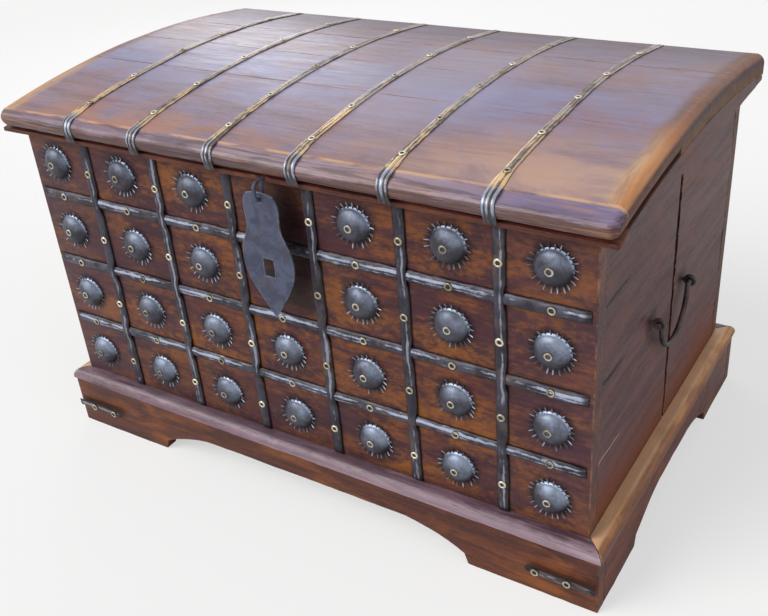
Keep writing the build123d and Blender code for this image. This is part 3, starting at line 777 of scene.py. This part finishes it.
def streaked_nose(finish, cloud):
    """The nose: painted pale on its downward lower face, painted violet sheen and highlights above, dark
    streaks along it.
    """
    x, z = finish.axis("X"), finish.axis("Z")
    streaks = finish.speckle((9.0, 60.0, 260.0), 4.0, 0.6)
    height = z + (streaks - 0.5) * 0.02 + (cloud - 0.5) * 0.03
    # Painted light: the nose's lower, downward face is painted pale.
    colour = finish.blend(tone("bc867a"), tone("573c39"), height.between(0.596, 0.608))
    # Painted reflection: a violet sheen on the upper part of the nose.
    violet = finish.blend(tone("7e6b7e"), tone("706890"), x.between(0.20, 0.42))
    colour = finish.blend(colour, violet, height.between(0.619, 0.629))
    # A pale painted highlight along the middle of the nose.
    middle = height.between(0.616, 0.627) * x.between(-0.16, 0.02) * x.between(0.46, 0.22)
    colour = finish.blend(colour, tone("b09aa2"), middle * 0.6)
    colour = finish.blend(colour, tone("b07c58"), streaks.between(0.53, 0.68) * 0.55)
    drawn = finish.speckle((6.0, 40.0, 170.0), 4.0, 0.65, 1.0)
    colour = finish.blend(colour, tone("36242c"), drawn.between(0.46, 0.60) * 0.6)
    # Pale violet painted highlights in streaks.
    colour = finish.blend(colour, tone("a79cb0"), streaks.between(0.42, 0.34) * 0.35)
    belt = height.between(0.600, 0.607) * height.between(0.625, 0.618)
    belt = belt * x.between(-0.46, -0.34) * x.between(0.04, -0.12)
    return finish.blend(colour, tone("3a2426"), belt * 0.6)


def lid_story(finish, colour):
    """The whole lid: its top, ends and nose, the back darkened as painted shade, the gables and the
    plain underside.
    """
    x, y, z = finish.axis("X"), finish.axis("Y"), finish.axis("Z")
    cloud = finish.speckle((7.0, 12.0, 12.0), 4.0, 0.65, 0.6)
    brown = finish.speckle((4.0, 34.0, 34.0), 5.0, 0.7, 0.5)
    colour = top_sheen_and_wear(finish, colour, cloud, brown)
    # Painted shade: the back of the top darkened, where the sheen falls away.
    back_shade = y.between(0.06, 0.30)
    colour = finish.blend(colour, tone("453840"), back_shade * 0.55)
    colour = rubbed_ends(finish, colour, cloud)
    back, up = y - lid_centre.y, z - lid_centre.z
    depth = lid_radius - finish.maths("SQRT", back * back + up * up)
    skirt = x.distance(0.0).between(0.516, 0.522) * depth.between(0.004, 0.010)
    gable = finish.blend(tone("493e42"), tone("543630"), y.between(-0.05, -0.22))
    colour = finish.blend(colour, gable, skirt * (brown * 0.5 + 0.7))
    inside = depth.between(0.012, 0.020) * y.distance(lid_centre.y).between(0.300, 0.290)
    colour = finish.blend(colour, finish.blend(tone("4c3426"), tone("6e4e38"), brown), inside)
    ahead = x * arris_skew - y + arris_middle
    nose = ahead.between(-0.0005, 0.0015) * 0.92
    colour = finish.blend(colour, streaked_nose(finish, cloud), nose)
    pale = finish.speckle((14.0, 60.0, 60.0), 4.0, 0.6).between(0.36, 0.56)
    line = ahead.distance(0.0).between(0.0040, 0.0005) * pale * 0.75
    return finish.blend(colour, tone("d9ab7e"), line), skirt * 0.35 + back_shade * 0.12


nose_top = 0.617
planing = 0.10


def raised_arris(mesh):
    """Planes the nose off from a long arris, which runs nearer the back at the right-hand end."""
    across = Vector((-arris_skew, 1.0, 0.0)).normalized()
    for shift in (-0.008, -0.004, -0.0015, 0.0, 0.0015, 0.008):
        whole = mesh.verts[:] + mesh.edges[:] + mesh.faces[:]
        start = Vector((0.0, arris_middle + shift, 0.0))
        bmesh.ops.bisect_plane(mesh, geom=whole, plane_co=start, plane_no=across)
    front = min(vert.co.y for vert in mesh.verts)
    for vert in mesh.verts:
        arris = arris_middle + arris_skew * vert.co.x
        share = (arris - vert.co.y) / (arris - front)
        if share > 0 and vert.co.z > nose_top:
            vert.co.z -= planing * (arris - front) * 4 * share * (1 - share)


lid_tones = {"dark": "715968", "middle": "8f7b8b", "light": "9c7a74", "worn": "b98a62"}
lid_finish = oiled_wood("lid_wood", "X", **lid_tones, story=lid_story, specular=0.42, relief=0.0005)
front_lid_board = {"rounding": 0.0013, "wander": 0.0006, "shaping": raised_arris}
worn_copy("lid_board_1", lid_finish, "lid", "lid_wood", **front_lid_board)
rail_tones = {"dark": "331a17", "middle": "5a3029", "light": "75452e", "worn": "6a4434"}
rail_wood = oiled_wood("rail_wood", "X", **rail_tones, gloss=0.45)
for number in (2, 3, 4):
    lid_board = f"lid_board_{number}"
    worn_copy(lid_board, lid_finish, "lid", "lid_wood", rounding=0.0008, wander=0.0006)
for rail in ("lid_front_rail", "lid_back_rail"):
    worn_copy(rail, rail_wood, "lid", "lid_wood", rounding=0.003)
lid_end_wood = oiled_wood("lid_end_wood", "Y", "3b2826", "5c4244", "704838", "6a4a40", gloss=0.5)
for hand in ("left", "right"):
    worn_copy(f"lid_end_{hand}", lid_end_wood, "lid", "lid_wood", rounding=0.0016)
worn_copy("lid_ribs", bare_wood, "lid", "inner_wood")


# Lid straps: three-ridged strips over the boards and round the nose, brassy where they are
# rubbed on top and silvery round the nose, with dark dirt left in the grooves.
lid_overhang = 0.028
nose_radius = 0.016
nose_reach = lid_radius - nose_radius
nose_angle = asin((lid_centre.y - front_face + lid_overhang - nose_radius) / nose_reach)
nose_centre = lid_centre + Vector((0.0, -sin(nose_angle), cos(nose_angle))) * nose_reach
tail_run = 0.0195
tail_direction = Vector((0.0, 0.16, -1.0))
strap_back_gap = 0.005
strap_start = -asin((lid_back - strap_back_gap - lid_centre.y) / lid_radius)
over_top = lid_radius * (nose_angle - strap_start)
round_nose = nose_radius * (pi / 2 - nose_angle)
strap_run = over_top + round_nose + tail_run


def lid_point(s, lift):
    """A point at a height over the lid, s metres along a strap from its back end."""
    if s < over_top:
        angle, centre, radius = strap_start + s / lid_radius, lid_centre, lid_radius
    else:
        angle = min(pi / 2, nose_angle + (s - over_top) / nose_radius)
        centre, radius = nose_centre, nose_radius
    point = centre + Vector((0.0, -sin(angle), cos(angle))) * (radius + lift)
    return point + tail_direction * max(0.0, s - over_top - round_nose)


def rubbed_brassy(finish):
    """Gold and straw colours on top of the lid, silver where the strap turns down the nose."""
    tint = finish.speckle((30.0, 30.0, 30.0), 3.0, 0.6).between(0.42, 0.60)
    grey = (tint * 0.6 + finish.axis("Y").between(-0.24, -0.04)) * 0.75
    gold = finish.blend(tone("e0bd86"), tone("98908f"), grey)
    return finish.blend(gold, tone("949bad"), finish.axis("Y").between(-0.298, -0.312))


def soot_in_grooves(finish):
    """Dusting keeps the grooves fairly clean on top, and they stay black down the nose."""
    return finish.axis("Y").between(-0.294, -0.310) * 0.55 + 0.28


strap_rub = {"gloss": 0.38, "scale": 1.3, "rubbing": (0.84, 1.22), "darkening": soot_in_grooves}
lid_strap_iron = iron("lid_strap_iron", "564b48", "7c6f68", rubbed_brassy, "86694a", **strap_rub)
lid_strap_height = 0.0022
narrowing = 0.24
flare_zone = (0.84, 0.92)
tail_shift = 0.0055
lid_strap_places = []
for number in range(1, 7):
    node = f"lid_strap_{number}"
    low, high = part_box(node)
    place_x = (low.x + high.x) / 2
    lid_strap_places.append(place_x)

    def over_lid(s, across, lift):
        along = s / strap_run
        bend = 0.0016 * noise.noise(Vector((s * 6, number, 2)))
        bend += tail_shift * max(0.0, along - 0.88) / 0.12
        point = lid_point(s, lift)
        point.x = place_x + across * (1 - narrowing * (1 - ease(along, *flare_zone))) + bend
        return point

    seed = 40 + number
    strip = forged_strip(strap_run, strap_width, lid_strap_height, over_lid, seed, three_ridges)
    grime_and_shade = strip.verts.layers.float["grime_and_shade"]
    for vert in strip.verts:
        vert[grime_and_shade] += 0.3 * min(1.0, max(0.0, (-0.300 - vert.co.y) / 0.010))
    new_piece(f"{node}_forged", strip, lid_strap_iron, "lid", "lid_strap_iron", node)

lid_nail_places = (-0.270, -0.168, -0.047, 0.060, 0.198)
lid_nail_lift = 0.0019
lid_nail_size = Matrix.Diagonal((0.84, 0.84, 0.84, 1.0))
mesh = bmesh.new()
for x in lid_strap_places:
    for y in lid_nail_places:
        angle = asin(-y / lid_radius)
        up = Vector((0.0, -sin(angle), cos(angle)))
        seat = lid_centre + up * (lid_radius + lid_nail_lift)
        seat.x = x
        upright = Matrix.Rotation(angle, 4, "X") @ lid_nail_size
        gather(mesh, bright_nail, Matrix.Translation(seat) @ upright)
new_piece("lid_nails_ringed", mesh, brass, "lid", "nail_brass", "lid_nails")


# Hasp: a flat forged plate with a waist and a slot, which hangs by its round hole from a wire
# staple in the lid's front rail. It has kept the blue grey of the forge.
hasp_wear = {"gloss": 0.55, "metal": 0.3, "scale": 1.1, "rim": 0.0014}
hasp_iron = iron("hasp_iron", "3a3e52", "4d5268", "a2a8b6", "443e46", **hasp_wear)
hasp_cut = {"rounding": 0.0008, "wander": 0.0004, "pitch": 0.006, "every_way": True}
worn_copy("hasp", hasp_iron, "hasp", "hasp_iron", **hasp_cut)
finish_node("hasp_staple", hasp_iron)


# Handles: at each end a forged half-round bail hangs from two eyes, whose shanks go through the
# end boards. Both are the hinges' dark iron.
for node in ("handle_bail_left", "handle_bail_right", "handle_eyes"):
    finish_node(node, dark_iron)


# Floor: a wide sheet of pale paper under the feet. It glows a little to the camera, so that it
# stays white and still shows the chest's shadow.
sheet = bmesh.new()
bmesh.ops.create_grid(sheet, x_segments=1, y_segments=1, size=12.0)
floor = bpy.data.objects.new("floor", settled("floor", sheet))
bpy.context.scene.collection.objects.link(floor)
paper = Finish("floor_paper", Roughness=0.9, Specular_IOR_Level=0.1)
paper.feed(paper.shader, {"Base Color": tone("f2f2f2")})
watched = paper.node("ShaderNodeLightPath", output="Is Camera Ray")
glow = paper.node("ShaderNodeEmission", inputs={"Color": (1.0, 1.0, 1.0, 1.0), "Strength": 1.0})
matt = Signal(paper, paper.shader.outputs[0])
mixed = paper.node("ShaderNodeMixShader", inputs={0: watched * 0.55, 1: matt, 2: glow})
paper.feed(paper.tree.nodes["Material Output"], {"Surface": mixed})
floor.data.materials.append(paper.material)
floor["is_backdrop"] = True


# Studio: a white room. The camera, polish and glass see it at full white, and it lights the chest
# at less than half of that.
room_light = 0.40
world = bpy.data.worlds.new("studio")
bpy.context.scene.world = world
world.use_nodes = True
sky = world.node_tree
sky.nodes.clear()
rays = sky.nodes.new("ShaderNodeLightPath")
full = rays.outputs["Is Camera Ray"]
for ray in ("Is Glossy Ray", "Is Transmission Ray"):
    either = sky.nodes.new("ShaderNodeMath")
    either.operation = "MAXIMUM"
    sky.links.new(full, either.inputs[0])
    sky.links.new(rays.outputs[ray], either.inputs[1])
    full = either.outputs[0]
strength = sky.nodes.new("ShaderNodeMapRange")
strength.inputs["To Min"].default_value = room_light
strength.inputs["To Max"].default_value = 1.0
sky.links.new(full, strength.inputs["Value"])
backdrop = sky.nodes.new("ShaderNodeBackground")
backdrop.inputs["Color"].default_value = (1.0, 1.0, 1.0, 1.0)
sky.links.new(strength.outputs[0], backdrop.inputs["Strength"])
world_output = sky.nodes.new("ShaderNodeOutputWorld")
sky.links.new(backdrop.outputs[0], world_output.inputs["Surface"])


# Lamps: soft daylight from the upper left, a weak cool fill from the right, and a small round
# lamp behind the chest, whose sheen lies on the back of the lid.
def hang_lamp(name, kind, energy, tint, direction, **settings):
    """A lamp that shines in one direction."""
    lamp = bpy.data.lights.new(name, kind)
    lamp.energy = energy
    lamp.color = tint
    for key, value in settings.items():
        setattr(lamp, key, value)
    holder = bpy.data.objects.new(name, lamp)
    holder.rotation_euler = Vector(direction).to_track_quat("-Z", "Y").to_euler()
    bpy.context.scene.collection.objects.link(holder)
    return holder


daylight, skylight = (1.0, 0.985, 0.96), (0.93, 0.96, 1.0)
hang_lamp("window", "SUN", 2.3, daylight, (0.50, 0.62, -0.60), angle=radians(40))
hang_lamp("fill", "SUN", 0.55, skylight, (-0.80, 0.35, -0.45), angle=radians(60))
sheen_place = Vector((-2.1, 2.2, 1.45))
sheen_aim = Vector((-0.2, 0.0, 0.65)) - sheen_place
sheen = hang_lamp("sheen", "AREA", 8.0, skylight, sheen_aim, shape="DISK", size=1.0)
sheen.location = sheen_place


# Camera: before the front right-hand corner, about half a metre above the lid, looking down at the
# chest and rolled by five degrees.
camera = bpy.data.cameras.new("camera")
camera.sensor_width = 36.0
camera.lens = 46.49
yaw, pitch, roll = radians(34.57), radians(30.75), radians(-5.07)
level = Euler((pi / 2 - pitch, 0.0, yaw)).to_quaternion()
tripod = bpy.data.objects.new("camera", camera)
tripod.location = (0.86619, -1.28881, 1.13333)
tripod.rotation_euler = (level @ Quaternion((0.0, 0.0, 1.0), roll)).to_euler()
bpy.context.scene.collection.objects.link(tripod)
bpy.context.scene.camera = tripod
bpy.context.scene.view_settings.view_transform = "Standard"

low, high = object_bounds()
